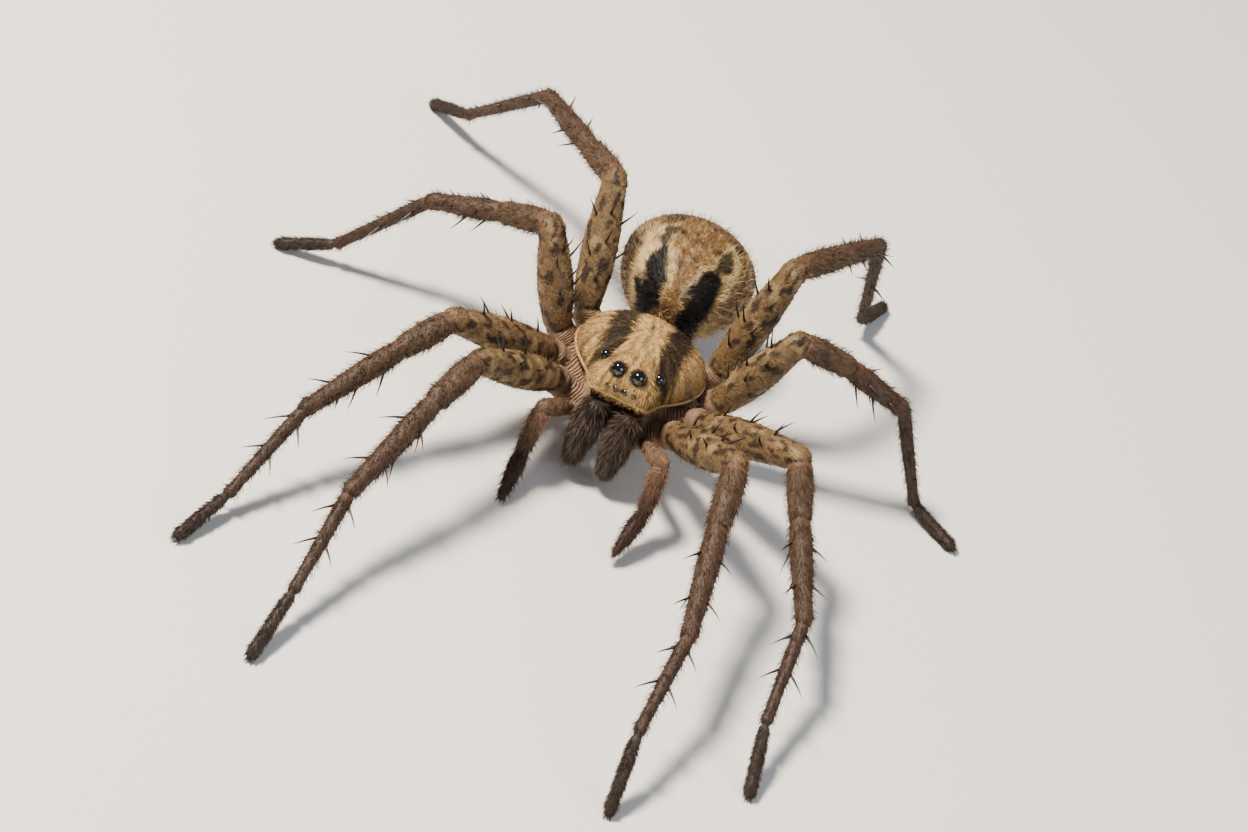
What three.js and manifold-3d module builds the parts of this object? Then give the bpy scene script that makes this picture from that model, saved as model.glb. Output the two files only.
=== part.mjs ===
// A wolf spider at life size, standing still on eight bent legs.
// Millimetres. The spider faces -Y, its left side is +X, up is +Z and its feet rest at z = 0.
import * as THREE from "three";
import { mergeVertices } from "three/addons/utils/BufferGeometryUtils.js";
import Module from "manifold-3d";

const wasm = await Module();
wasm.setup();

// Driving dimensions of the body.
const RIM_HEIGHT = 4.8; // height of the carapace's side rim above the floor
const GAP = 0.3; // space kept between pieces that meet
const EYE_GAP = 0.1; // the narrower space round an eye in its socket

// Stations of a rounded body from front to rear: [y, half width, height of its widest line above
// the body's own level, height of its top above that line, depth of its bottom below that line].
// The carapace is a dome over its rim, which rises to the lower edge of the face.
const CARAPACE = [
  [-4.6, 1.5, 1.2, 1.1, 0.15],
  [-4.3, 1.9, 1.0, 1.85, 0.25],
  [-3.4, 2.15, 0.7, 2.45, 0.3],
  [-2.4, 2.45, 0.35, 2.8, 0.3],
  [-1.4, 3.05, 0.1, 2.95, 0.3],
  [-0.3, 3.7, 0, 2.9, 0.25],
  [1.1, 4.1, 0, 2.7, 0.15],
  [2.6, 3.7, 0, 2.2, 0.1],
  [3.9, 2.65, 0, 1.4, 0.1],
  [4.8, 1.1, 0.15, 0.5, 0.1],
];

const ABDOMEN_HEIGHT = 5.4;
const ABDOMEN = [
  [5.2, 0.8, 0, 1.2, 1.3],
  [5.7, 1.9, 0.2, 2.1, 2.1],
  [7.2, 3.3, 0.35, 3.05, 3.05],
  [9.2, 4.05, 0.2, 3.55, 3.5],
  [11.2, 4.1, 0, 3.4, 3.4],
  [13.0, 3.2, -0.3, 2.6, 2.6],
  [14.2, 1.9, -0.45, 1.55, 1.55],
  [14.7, 0.8, -0.45, 0.75, 0.75],
];

// The plate between the coxae: an oval with its middle at a height, cut flat below the carapace.
const STERNUM = { halfWidth: 1.6, halfLength: 2.2, halfHeight: 1.52, middle: 3.82, top: 4.2 };

// The narrow waist between the two halves of the body.
const PEDICEL = { from: [0, 3.0, 3.3], to: [0, 4.4, 4.0], radii: [0.45, 0.5, 0.5] };

// Spinnerets: a short base behind the abdomen, with an upper and a lower pair of tubes in it.
const SPINNERETS = { level: 4.6, from: 15.4, to: 15.5, radii: [0.42, 0.38] };
const SPINNERET_TUBE = {
  from: { x: 0.24, y: 15.5, z: 0.2 },
  to: { x: 0.34, y: 16.05, z: 0.34 },
  radii: [0.22, 0.2, 0.12],
  sides: 6,
};

// Eyes on the right side: [x, y, height above the rim, radius].
const EYES = {
  middle: [0.62, -4.08, 2.78, 0.45],
  rear: [1.68, -2.8, 2.35, 0.34],
  front_inner: [0.28, -4.6, 1.85, 0.2],
  front_outer: [0.85, -4.52, 1.8, 0.17],
};

// Jaws, with the fang folded in below them.
const JAW = { x: 1.05, y: -4.6, top: 4.6, length: 3.1, lean: 14, radii: [0.85, 0.94, 0.87, 0.66] };
const FANG = { length: 1.3, radius: 0.28, outward: 0.5, behind: 0.5, below: 0.99, turn: 80 };

// Lengths of each leg's femur, patella, tibia, metatarsus and tarsus.
const LENGTHS = {
  1: [8.7, 4.0, 7.5, 6.5, 4.3],
  2: [8.7, 3.4, 7.0, 6.5, 3.9],
  3: [6.6, 3.4, 4.8, 6.9, 3.4],
  4: [8.0, 4.0, 6.5, 9.4, 4.0],
};

// Where each leg leaves the body: inner end of the coxa, its outer end, and the base of the femur.
const HIPS = {
  1: [[1.5, -2.35, 3.0], [3.55, -2.55, 3.6], [3.9, -3.3, 4.4]],
  2: [[2.15, -0.85, 3.0], [4.15, -0.5, 3.6], [4.9, -1.1, 4.3]],
  3: [[2.15, 0.8, 3.0], [4.15, 1.5, 3.6], [5.2, 1.4, 4.15]],
  4: [[1.45, 2.3, 3.0], [3.6, 3.4, 3.6], [4.35, 3.85, 4.45]],
};

// The stance. Turns are degrees of each length from straight out to the side, backwards positive.
// Rises are degrees above level for the first three, and the last two follow from the ankle's height.
const STANCE = {
  right_1: { turns: [-62, -76, -76, -88, -86], rises: [28, -11, -21], ankle: 1.9 },
  left_1: { turns: [-57, -82, -81, -92, -82], rises: [33, -21, -15], ankle: 3.5 },
  right_2: { turns: [-49, -59, -62, -74, -73], rises: [25, -19, -19], ankle: 1.2 },
  left_2: { turns: [-38, -57, -68, -86, -76], rises: [30, -39, -11], ankle: 2.5 },
  right_3: { turns: [20, 19, 6, -12, -14], rises: [64, -25, -23], ankle: 1.5 },
  left_3: { turns: [19, 19, 20, 5, -27], rises: [63, -15, -27], ankle: 0.8 },
  right_4: { turns: [67, 54, 49, 41, 41], rises: [58, -15, -10], ankle: 2.3 },
  left_4: { turns: [54, 60, 73, 77, 77], rises: [70, -2, -19], ankle: 1.3 },
};

// Radii along each length of a leg, from its near end to its far end.
const THICKNESS = {
  coxa: [0.62, 0.8, 0.9, 0.92],
  trochanter: [0.88, 0.92, 0.9],
  femur: [0.88, 1.1, 1.15, 1.0, 0.8],
  patella: [0.74, 0.84, 0.82, 0.72],
  tibia: [0.66, 0.74, 0.7, 0.62, 0.56],
  metatarsus: [0.5, 0.48, 0.44, 0.42],
  tarsus: [0.4, 0.44, 0.44, 0.4],
};
const FOOT_HEIGHT = 0.37; // height of the last ball of the foot, a little less than its radius

// Palps: base, lengths of femur, patella, tibia and tarsus, and their turns and rises.
const PALP_BASE = [2.4, -3.9, 3.4];
const PALP_ROOT = [1.5, -3.5, 2.5];
const PALP_LENGTHS = [3.3, 1.2, 1.7, 3.2];
const PALP_STANCE = {
  right: { turns: [-68, -85, -90, -92], rises: [25, -60, -78, -32] },
  left: { turns: [-60, -80, -80, -100], rises: [22, -50, -62, -28] },
};
const PALP_THICKNESS = {
  coxa: [0.4, 0.5, 0.46],
  femur: [0.46, 0.57, 0.56],
  patella: [0.52, 0.56, 0.52],
  tibia: [0.5, 0.54, 0.5],
  tarsus: [0.48, 0.54, 0.46, 0.28],
};

// Spines lean from the limb towards its tip, and their roots are sunk in it.
const SPINE = { length: 1.4, radius: 0.26, lean: 50, sunk: 0.38, sides: 5 };

// Rows of spines on each length of a leg: degrees round it from the top, and shares along it.
const SPINE_ROWS = {
  femur: [[0, [0.25, 0.5, 0.75]], [48, [0.42, 0.68]], [-48, [0.42, 0.68]]],
  tibia: [[75, [0.3, 0.68]], [-75, [0.3, 0.68]], [150, [0.22, 0.52]], [-150, [0.22, 0.52]]],
  metatarsus: [[80, [0.14, 0.5]], [-80, [0.14, 0.5]]],
};
const SPINE_SCATTER = { share: 0.03, degrees: 9, length: 0.15 };

// How far a section is from round: shares of its radius across and upwards.
const HIP_FORM = { wide: 0.92, high: 1.1 };
const THIGH_FORM = { wide: 0.95, high: 1.08 };
const JAW_FORM = { wide: 0.98, high: 1.1 };

const SIDES = 9; // sides of a limb's section
const FEWER_SIDES = 8; // sides of a hip's or palp's section

// Sides and rings of the rounded shapes.
const DETAIL = {
  carapace: [26, 22],
  abdomen: [24, 20],
  sternum: [20, 12],
  eye: [10, 7],
  socket: [10, 6],
  fang: [8, 4],
};
const MERGE_DISTANCE = 1e-4;

const SKIN = { color: 0x7a5a3a, roughness: 0.85, metalness: 0 };
const DARK_SKIN = { color: 0x4c3a2c, roughness: 0.85, metalness: 0 };
const EYE_GLOSS = { color: 0x0a0908, roughness: 0.08, metalness: 0 };
const FANG_HORN = { color: 0x1c0f0a, roughness: 0.3, metalness: 0 };

const spider = new THREE.Group();

// A closed mesh as a solid that can be joined and cut.
function solidFrom(geometry) {
  const bare = geometry.index ? geometry.toNonIndexed() : geometry.clone();
  bare.deleteAttribute("normal");
  bare.deleteAttribute("uv");
  const merged = mergeVertices(bare, MERGE_DISTANCE);
  return new wasm.Manifold(
    new wasm.Mesh({
      numProp: 3,
      vertProperties: merged.attributes.position.array,
      triVerts: new Uint32Array(merged.index.array),
    }),
  );
}

// Puts a solid on the model under its own name, keeping its largest closed body.
function place(name, solid, finish) {
  const bodies = solid.decompose();
  bodies.sort((a, b) => b.volume() - a.volume());
  const made = bodies[0].getMesh();
  const geometry = new THREE.BufferGeometry();
  geometry.setAttribute("position", new THREE.BufferAttribute(made.vertProperties, 3));
  geometry.setIndex(new THREE.BufferAttribute(made.triVerts, 1));
  geometry.computeVertexNormals();
  const mesh = new THREE.Mesh(geometry, new THREE.MeshStandardMaterial(finish));
  mesh.name = name;
  spider.add(mesh);
}

// A value read from evenly spaced stops, with a smooth curve between them.
function along(stops, t) {
  const curve = new THREE.SplineCurve(stops.map((v, i) => new THREE.Vector2(i, v)));
  return curve.getPoint(t).y;
}

// A rounded body swept along Y through its stations, over a level above the floor.
function loaf(stations, level, [sides, rings]) {
  const geometry = new THREE.SphereGeometry(1, sides, rings);
  const position = geometry.attributes.position;
  const point = new THREE.Vector3();
  for (let i = 0; i < position.count; i++) {
    point.fromBufferAttribute(position, i);
    const t = Math.acos(THREE.MathUtils.clamp(-point.y, -1, 1)) / Math.PI;
    const end = 1 / rings; // the first and last rings close the ends
    const s = THREE.MathUtils.clamp((t - end) / (1 - 2 * end), 0, 1);
    const [y, wide, line, above, below] = [0, 1, 2, 3, 4].map((k) =>
      along(stations.map((row) => row[k]), s),
    );
    const around = Math.hypot(point.x, point.z);
    const pole = around < MERGE_DISTANCE;
    const x = pole ? 0 : (point.x / around) * wide;
    const up = pole ? 0 : point.z / around;
    position.setXYZ(i, x, y, level + line + up * (up > 0 ? above : below));
  }
  return solidFrom(geometry);
}

// A limb's length from one point to another, with radii along it and a ball at each end.
function limb(from, to, radii, { wide = 1, high = 1, sides = SIDES } = {}) {
  const start = new THREE.Vector3(...from);
  const axis = new THREE.Vector3(...to).sub(start);
  const length = axis.length();
  const first = radii[0];
  const last = radii[radii.length - 1];
  const profile = [[0, -first], [first * Math.SQRT1_2, -first * Math.SQRT1_2]];
  const steps = radii.length;
  for (let i = 0; i <= steps; i++) {
    profile.push([along(radii, i / steps), (length * i) / steps]);
  }
  profile.push([last * Math.SQRT1_2, length + last * Math.SQRT1_2], [0, length + last]);
  const points = profile.map(([r, y]) => new THREE.Vector2(r, y));
  const geometry = new THREE.LatheGeometry(points, sides);
  const { forward, side, top } = frameOf(from, to);
  geometry.scale(wide, 1, high);
  geometry.applyMatrix4(new THREE.Matrix4().makeBasis(side, forward, top));
  geometry.translate(start.x, start.y, start.z);
  return solidFrom(geometry);
}

// The directions of a limb's length: forward along it, out to its side and up to its top.
function frameOf(from, to) {
  const forward = new THREE.Vector3(...to).sub(new THREE.Vector3(...from)).normalize();
  const side = new THREE.Vector3().crossVectors(forward, new THREE.Vector3(0, 0, 1)).normalize();
  const top = new THREE.Vector3().crossVectors(side, forward);
  return { forward, side, top };
}

// Repeatable random numbers from -1 to 1.
let seed = 1912;
function random() {
  seed = (seed * 16807) % 2147483647;
  return (2 * seed) / 2147483647 - 1;
}

// The spines of one length of a leg, as cones rooted in it, joined to its solid.
function addSpines(solid, from, to, radii, rows) {
  const { forward, side, top } = frameOf(from, to);
  const length = forward.dot(new THREE.Vector3(...to).sub(new THREE.Vector3(...from)));
  const spines = [];
  for (const [degrees, shares] of rows) {
    for (const evenShare of shares) {
      const share = evenShare + SPINE_SCATTER.share * random();
      const around = THREE.MathUtils.degToRad(degrees + SPINE_SCATTER.degrees * random());
      const tall = SPINE.length * (1 + SPINE_SCATTER.length * random()) + SPINE.sunk;
      const lean = THREE.MathUtils.degToRad(SPINE.lean);
      const outward = side.clone().multiplyScalar(Math.sin(around)).addScaledVector(top, Math.cos(around));
      const rise = forward.clone().multiplyScalar(Math.cos(lean)).addScaledVector(outward, Math.sin(lean));
      const root = new THREE.Vector3(...from)
        .addScaledVector(forward, share * length)
        .addScaledVector(outward, along(radii, share))
        .addScaledVector(rise, tall / 2 - SPINE.sunk);
      const cone = new THREE.ConeGeometry(SPINE.radius, tall, SPINE.sides);
      const turn = new THREE.Quaternion().setFromUnitVectors(new THREE.Vector3(0, 1, 0), rise);
      cone.applyQuaternion(turn);
      cone.translate(root.x, root.y, root.z);
      spines.push(solidFrom(cone));
    }
  }
  return wasm.Manifold.union([solid, ...spines]);
}

// A unit direction from its turn and rise in degrees, out to one side of the body.
function heading(side, turn, rise) {
  const a = THREE.MathUtils.degToRad(turn);
  const b = THREE.MathUtils.degToRad(rise);
  const out = side * Math.cos(a) * Math.cos(b);
  return new THREE.Vector3(out, Math.sin(a) * Math.cos(b), Math.sin(b));
}

// The next joint of a chain, a length away on a heading.
function step(from, direction, length) {
  return new THREE.Vector3(...from).addScaledVector(direction, length).toArray();
}

// The rise in degrees that takes a length from one height down to another.
function riseBetween(low, high, length) {
  return THREE.MathUtils.radToDeg(Math.asin((low - high) / length));
}

// Cuts a solid on the plane that halves the bend at a joint, keeping the near or the far side.
function cutAtJoint(solid, before, joint, after, keep) {
  const arriving = new THREE.Vector3(...joint).sub(new THREE.Vector3(...before)).normalize();
  const leaving = new THREE.Vector3(...after).sub(new THREE.Vector3(...joint)).normalize();
  const normal = arriving.add(leaving).normalize();
  const distance = normal.dot(new THREE.Vector3(...joint));
  if (keep === "near") {
    return solid.trimByPlane(normal.clone().negate().toArray(), -distance + GAP / 2);
  }
  return solid.trimByPlane(normal.toArray(), distance + GAP / 2);
}

// The same point on the spider's right or left side.
function onSide(side, [x, y, z]) {
  return [side * x, y, z];
}

function makeEyes() {
  let sockets = null;
  for (const [name, side] of [["right", -1], ["left", 1]]) {
    for (const [row, [x, y, above, radius]] of Object.entries(EYES)) {
      const centre = [side * x, y, RIM_HEIGHT + above];
      const ball = new THREE.SphereGeometry(radius, ...DETAIL.eye).translate(...centre);
      place(`eye_${row}_${name}`, solidFrom(ball), EYE_GLOSS);
      const hollow = new THREE.SphereGeometry(radius + EYE_GAP, ...DETAIL.socket).translate(...centre);
      const socket = solidFrom(hollow);
      sockets = sockets ? sockets.add(socket) : socket;
    }
  }
  return sockets;
}

function makeCarapace(sockets) {
  const shell = loaf(CARAPACE, RIM_HEIGHT, DETAIL.carapace);
  place("carapace", shell.subtract(sockets), SKIN);
}

function makeSternum() {
  const { halfWidth, halfLength, halfHeight, middle, top } = STERNUM;
  const plate = new THREE.SphereGeometry(1, ...DETAIL.sternum);
  plate.rotateX(Math.PI / 2);
  plate.scale(halfWidth, halfLength, halfHeight);
  plate.translate(0, 0, middle);
  place("sternum", solidFrom(plate).trimByPlane([0, 0, -1], -top), DARK_SKIN);
}

function makeAbdomen() {
  place("abdomen", loaf(ABDOMEN, ABDOMEN_HEIGHT, DETAIL.abdomen), SKIN);
  const waist = limb(PEDICEL.from, PEDICEL.to, PEDICEL.radii, { sides: FEWER_SIDES });
  place("pedicel", waist, DARK_SKIN);
}

function makeSpinnerets() {
  const { level, from: near, to: far, radii } = SPINNERETS;
  const { from, to, sides } = SPINNERET_TUBE;
  let cluster = limb([0, near, level], [0, far, level], radii, { sides: FEWER_SIDES });
  for (const side of [-1, 1]) {
    for (const row of [-1, 1]) {
      const root = [side * from.x, from.y, level + row * from.z];
      const tip = [side * to.x, to.y, level + row * to.z];
      cluster = cluster.add(limb(root, tip, SPINNERET_TUBE.radii, { sides }));
    }
  }
  place("spinnerets", cluster, DARK_SKIN);
}

// A jaw leans forward from under the face, and its tip is where the fang hangs.
function makeJaw(name, side) {
  const lean = THREE.MathUtils.degToRad(JAW.lean);
  const from = [side * JAW.x, JAW.y, JAW.top];
  const down = new THREE.Vector3(0, -Math.sin(lean), -Math.cos(lean));
  const tip = step(from, down, JAW.length);
  place(`chelicera_${name}`, limb(from, tip, JAW.radii, JAW_FORM), DARK_SKIN);
  makeFang(name, side, tip);
}

// A jaw's fang, folded in below it towards the middle.
function makeFang(name, side, [x, y, z]) {
  const claw = new THREE.ConeGeometry(FANG.radius, FANG.length, ...DETAIL.fang);
  claw.rotateZ(side * THREE.MathUtils.degToRad(FANG.turn));
  claw.translate(side * (FANG.outward - FANG.length / 2), 0, 0);
  claw.rotateX(Math.PI / 2);
  claw.translate(x, y + FANG.behind, z - FANG.below);
  place(`fang_${name}`, solidFrom(claw), FANG_HORN);
}

function makePalp(name, side) {
  const { turns, rises } = PALP_STANCE[name];
  const joints = [onSide(side, PALP_BASE)];
  PALP_LENGTHS.forEach((length, i) => {
    joints.push(step(joints[i], heading(side, turns[i], rises[i]), length));
  });
  const [base, knee, shin, wrist, tip] = joints;
  const root = onSide(side, PALP_ROOT);
  const options = { sides: FEWER_SIDES };
  const upper = limb(root, base, PALP_THICKNESS.coxa, options)
    .add(limb(base, knee, PALP_THICKNESS.femur, options));
  place(`palp_${name}_femur`, cutAtJoint(upper, base, knee, shin, "near"), SKIN);
  const lower = limb(knee, shin, PALP_THICKNESS.patella, options)
    .add(limb(shin, wrist, PALP_THICKNESS.tibia, options));
  const trimmed = cutAtJoint(lower, base, knee, shin, "far");
  place(`palp_${name}_tibia`, cutAtJoint(trimmed, shin, wrist, tip, "near"), SKIN);
  const hand = limb(wrist, tip, PALP_THICKNESS.tarsus, options);
  place(`palp_${name}_tarsus`, cutAtJoint(hand, shin, wrist, tip, "far"), DARK_SKIN);
}

// The joints of one leg, from the inner end of its coxa to the ball of its foot.
function legJoints(name, side, number) {
  const { turns, rises, ankle } = STANCE[name];
  const lengths = LENGTHS[number];
  const joints = HIPS[number].map((point) => onSide(side, point));
  for (let i = 0; i < lengths.length; i++) {
    const from = joints[joints.length - 1];
    let rise = rises[i];
    if (i === 3) rise = riseBetween(ankle, from[2], lengths[i]);
    if (i === 4) rise = riseBetween(FOOT_HEIGHT, from[2], lengths[i]);
    joints.push(step(from, heading(side, turns[i], rise), lengths[i]));
  }
  return joints;
}

function makeLeg(name, side, number) {
  const joints = legJoints(name, side, number);
  const [inner, outer, base, knee, shin, ankle, heel, toe] = joints;
  const label = `leg_${name}`;

  const hip = limb(inner, outer, THICKNESS.coxa, { ...HIP_FORM, sides: FEWER_SIDES })
    .add(limb(outer, base, THICKNESS.trochanter, { sides: FEWER_SIDES }));
  place(`${label}_coxa`, cutAtJoint(hip, outer, base, knee, "near"), SKIN);

  const bareThigh = limb(base, knee, THICKNESS.femur, THIGH_FORM);
  const thigh = addSpines(bareThigh, base, knee, THICKNESS.femur, SPINE_ROWS.femur);
  const femur = cutAtJoint(thigh, outer, base, knee, "far");
  place(`${label}_femur`, cutAtJoint(femur, base, knee, shin, "near"), SKIN);

  const bareShaft = limb(shin, ankle, THICKNESS.tibia);
  const shaft = addSpines(bareShaft, shin, ankle, THICKNESS.tibia, SPINE_ROWS.tibia);
  const calf = limb(knee, shin, THICKNESS.patella).add(shaft);
  const tibia = cutAtJoint(calf, base, knee, shin, "far");
  place(`${label}_tibia`, cutAtJoint(tibia, shin, ankle, heel, "near"), SKIN);

  const bareHeel = limb(ankle, heel, THICKNESS.metatarsus);
  const foot = addSpines(bareHeel, ankle, heel, THICKNESS.metatarsus, SPINE_ROWS.metatarsus)
    .add(limb(heel, toe, THICKNESS.tarsus));
  const tarsus = cutAtJoint(foot, shin, ankle, heel, "far");
  place(`${label}_tarsus`, tarsus.trimByPlane([0, 0, 1], 0), DARK_SKIN);
}

const sockets = makeEyes();
makeCarapace(sockets);
makeSternum();
makeAbdomen();
makeSpinnerets();
for (const [name, side] of [["right", -1], ["left", 1]]) {
  makeJaw(name, side);
  makePalp(name, side);
  for (const number of [1, 2, 3, 4]) {
    makeLeg(`${name}_${number}`, side, number);
  }
}

// The origin is on the floor below the middle of the whole footprint.
const extent = new THREE.Box3().setFromObject(spider);
const middle = extent.getCenter(new THREE.Vector3());
spider.position.set(-middle.x, -middle.y, 0);

export default spider;
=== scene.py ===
# %% [markdown]
# # A wolf spider in its coat
# A museum's life-size spider needs more than its outline: a skin without seams, a coat of short
# hair that lies the way the real one lies, dark spines, wet black eyes and small claws. The solids
# of this spider are loaded first and stay where they are. Everything here is built round them.

# %% Load the fixed frame
import math

import bmesh
import bpy
import numpy as np
from mathutils import Matrix, Vector


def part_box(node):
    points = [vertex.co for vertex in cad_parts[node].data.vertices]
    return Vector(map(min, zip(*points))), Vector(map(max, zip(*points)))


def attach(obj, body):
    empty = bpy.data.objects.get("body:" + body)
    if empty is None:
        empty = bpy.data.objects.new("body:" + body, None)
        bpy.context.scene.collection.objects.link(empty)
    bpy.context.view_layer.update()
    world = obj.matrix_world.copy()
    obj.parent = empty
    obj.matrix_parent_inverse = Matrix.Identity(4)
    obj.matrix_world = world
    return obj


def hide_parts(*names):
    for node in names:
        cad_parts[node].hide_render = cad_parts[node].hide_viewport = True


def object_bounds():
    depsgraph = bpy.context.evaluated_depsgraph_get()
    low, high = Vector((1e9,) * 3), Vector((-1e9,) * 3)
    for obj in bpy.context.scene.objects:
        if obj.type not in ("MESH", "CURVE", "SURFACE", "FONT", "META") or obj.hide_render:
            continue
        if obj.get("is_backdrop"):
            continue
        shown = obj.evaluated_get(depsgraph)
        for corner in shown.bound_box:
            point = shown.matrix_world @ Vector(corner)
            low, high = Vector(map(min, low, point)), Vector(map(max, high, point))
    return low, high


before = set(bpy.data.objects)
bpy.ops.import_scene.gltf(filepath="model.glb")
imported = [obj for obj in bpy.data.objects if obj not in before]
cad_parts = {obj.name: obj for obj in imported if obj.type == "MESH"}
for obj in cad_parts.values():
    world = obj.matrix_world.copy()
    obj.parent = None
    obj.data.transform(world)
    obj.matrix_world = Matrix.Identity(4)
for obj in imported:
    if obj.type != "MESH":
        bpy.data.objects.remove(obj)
cad_low, cad_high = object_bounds()
MM = 0.001
print("loaded", len(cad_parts), "solids,", round((cad_high.y - cad_low.y) / MM, 1), "mm long")

# %% [markdown]
# The spider's own measures are easiest in millimetres from the middle of its carapace, facing -Y,
# with its left side at +X. The carapace's solid says where that middle is, so one shift takes every
# finished mesh to its true place.

# %% The body's own frame
RIM_HEIGHT = 4.8
CARAPACE_FRONT = -4.6
shell_low, shell_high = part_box("carapace")
BODY_X = (shell_low.x + shell_high.x) / 2
BODY_Y = shell_low.y - CARAPACE_FRONT * MM
TO_FRAME = Matrix.Translation((BODY_X, BODY_Y, 0)) @ Matrix.Scale(MM, 4)
SIDES = {"right": -1, "left": 1}
print("the body's middle is at", round(BODY_X / MM, 2), round(BODY_Y / MM, 2), "mm")

# %% [markdown]
# The carapace and the abdomen are rounded loaves. Each is told by a few stations from front to
# rear: how far back, half its width, how high its widest line lies over the body's own level, how
# far the top rises above that line and how far the bottom hangs below it.

# %% Stations of the body
CARAPACE = [
    [-4.6, 1.5, 1.2, 1.1, 0.15],
    [-4.3, 1.9, 1.0, 1.85, 0.25],
    [-3.4, 2.15, 0.7, 2.45, 0.3],
    [-2.4, 2.45, 0.35, 2.8, 0.3],
    [-1.4, 3.05, 0.1, 2.95, 0.3],
    [-0.3, 3.7, 0, 2.9, 0.25],
    [1.1, 4.1, 0, 2.7, 0.15],
    [2.6, 3.7, 0, 2.2, 0.1],
    [3.9, 2.65, 0, 1.4, 0.1],
    [4.8, 1.1, 0.15, 0.5, 0.1],
]
ABDOMEN_HEIGHT = 5.4
ABDOMEN = [
    [5.2, 0.8, 0, 1.2, 1.3],
    [5.7, 1.9, 0.2, 2.1, 2.1],
    [7.2, 3.3, 0.35, 3.05, 3.05],
    [9.2, 4.05, 0.2, 3.55, 3.5],
    [11.2, 4.1, 0, 3.4, 3.4],
    [13.0, 3.2, -0.3, 2.6, 2.6],
    [14.2, 1.9, -0.45, 1.55, 1.55],
    [14.7, 0.8, -0.45, 0.75, 0.75],
]
EYES = {
    "middle": (0.62, -4.08, 2.78, 0.45),
    "rear": (1.68, -2.8, 2.35, 0.34),
    "front_inner": (0.28, -4.6, 1.85, 0.2),
    "front_outer": (0.85, -4.52, 1.8, 0.17),
}
print(len(CARAPACE), "stations of the carapace,", len(ABDOMEN), "of the abdomen")

# %% [markdown]
# A leg is a chain of lengths. Each has a turn, its angle from straight out to the side, and a rise
# above the level. The last two rises follow from the height of the ankle and of the foot, so that
# every foot stands on the floor. The skin lies a coat's depth inside the solids, to leave the hair
# its room, and nothing comes nearer to the floor than a small gap.

# %% The stance
LENGTHS = {
    1: [8.7, 4.0, 7.5, 6.5, 4.3],
    2: [8.7, 3.4, 7.0, 6.5, 3.9],
    3: [6.6, 3.4, 4.8, 6.9, 3.4],
    4: [8.0, 4.0, 6.5, 9.4, 4.0],
}
HIPS = {
    1: [[1.5, -2.35, 3.0], [3.55, -2.55, 3.6], [3.9, -3.3, 4.4]],
    2: [[2.15, -0.85, 3.0], [4.15, -0.5, 3.6], [4.9, -1.1, 4.3]],
    3: [[2.15, 0.8, 3.0], [4.15, 1.5, 3.6], [5.2, 1.4, 4.15]],
    4: [[1.45, 2.3, 3.0], [3.6, 3.4, 3.6], [4.35, 3.85, 4.45]],
}
STANCE = {
    "right_1": ([-62, -76, -76, -88, -86], [28, -11, -21], 1.9),
    "left_1": ([-57, -82, -81, -92, -82], [33, -21, -15], 3.5),
    "right_2": ([-49, -59, -62, -74, -73], [25, -19, -19], 1.2),
    "left_2": ([-38, -57, -68, -86, -76], [30, -39, -11], 2.5),
    "right_3": ([20, 19, 6, -12, -14], [64, -25, -23], 1.5),
    "left_3": ([19, 19, 20, 5, -27], [63, -15, -27], 0.8),
    "right_4": ([67, 54, 49, 41, 41], [58, -15, -10], 2.3),
    "left_4": ([54, 60, 73, 77, 77], [70, -2, -19], 1.3),
}
FOOT_HEIGHT = 0.37
PALP_ROOT = [1.5, -3.5, 2.5]
PALP_BASE = [2.4, -3.9, 3.4]
PALP_LENGTHS = [3.3, 1.2, 1.7, 3.2]
PALP_STANCE = {
    "right": ([-68, -85, -90, -92], [25, -60, -78, -32]),
    "left": ([-60, -80, -80, -100], [22, -50, -62, -28]),
}
THICKNESS = {
    "coxa": [0.62, 0.8, 0.9, 0.92],
    "trochanter": [0.88, 0.92, 0.9],
    "femur": [0.88, 1.1, 1.15, 1.0, 0.8],
    "patella": [0.74, 0.84, 0.82, 0.72],
    "tibia": [0.66, 0.74, 0.7, 0.62, 0.56],
    "metatarsus": [0.5, 0.48, 0.44, 0.42],
    "tarsus": [0.4, 0.44, 0.44, 0.4],
}
PALP_THICKNESS = {
    "palp_coxa": [0.4, 0.5, 0.46],
    "palp_femur": [0.46, 0.57, 0.56],
    "palp_patella": [0.52, 0.56, 0.52],
    "palp_tibia": [0.5, 0.54, 0.5],
    "palp_tarsus": [0.48, 0.54, 0.46, 0.28],
}
SPINE = {"length": 1.4, "radius": 0.085, "lean": 50, "sunk": 0.08, "sweep": 0.12, "settle": 0.06}
SPINE_ROWS = {
    "femur": [[0, [0.25, 0.5, 0.75]], [48, [0.42, 0.68]], [-48, [0.42, 0.68]]],
    "tibia": [[75, [0.3, 0.68]], [-75, [0.3, 0.68]], [150, [0.22, 0.52]], [-150, [0.22, 0.52]]],
    "metatarsus": [[80, [0.14, 0.5]], [-80, [0.14, 0.5]]],
}
SPINE_SCATTER = {"share": 0.03, "degrees": 9, "length": 0.15}
COAT_DEPTH = 0.08
LEAST_DEPTH = 0.08
FLOOR_GAP = 0.02


def heading(side, turn, rise):
    """A unit direction out to one side of the body."""
    a, b = math.radians(turn), math.radians(rise)
    return np.array([side * math.cos(a) * math.cos(b), math.sin(a) * math.cos(b), math.sin(b)])


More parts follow.
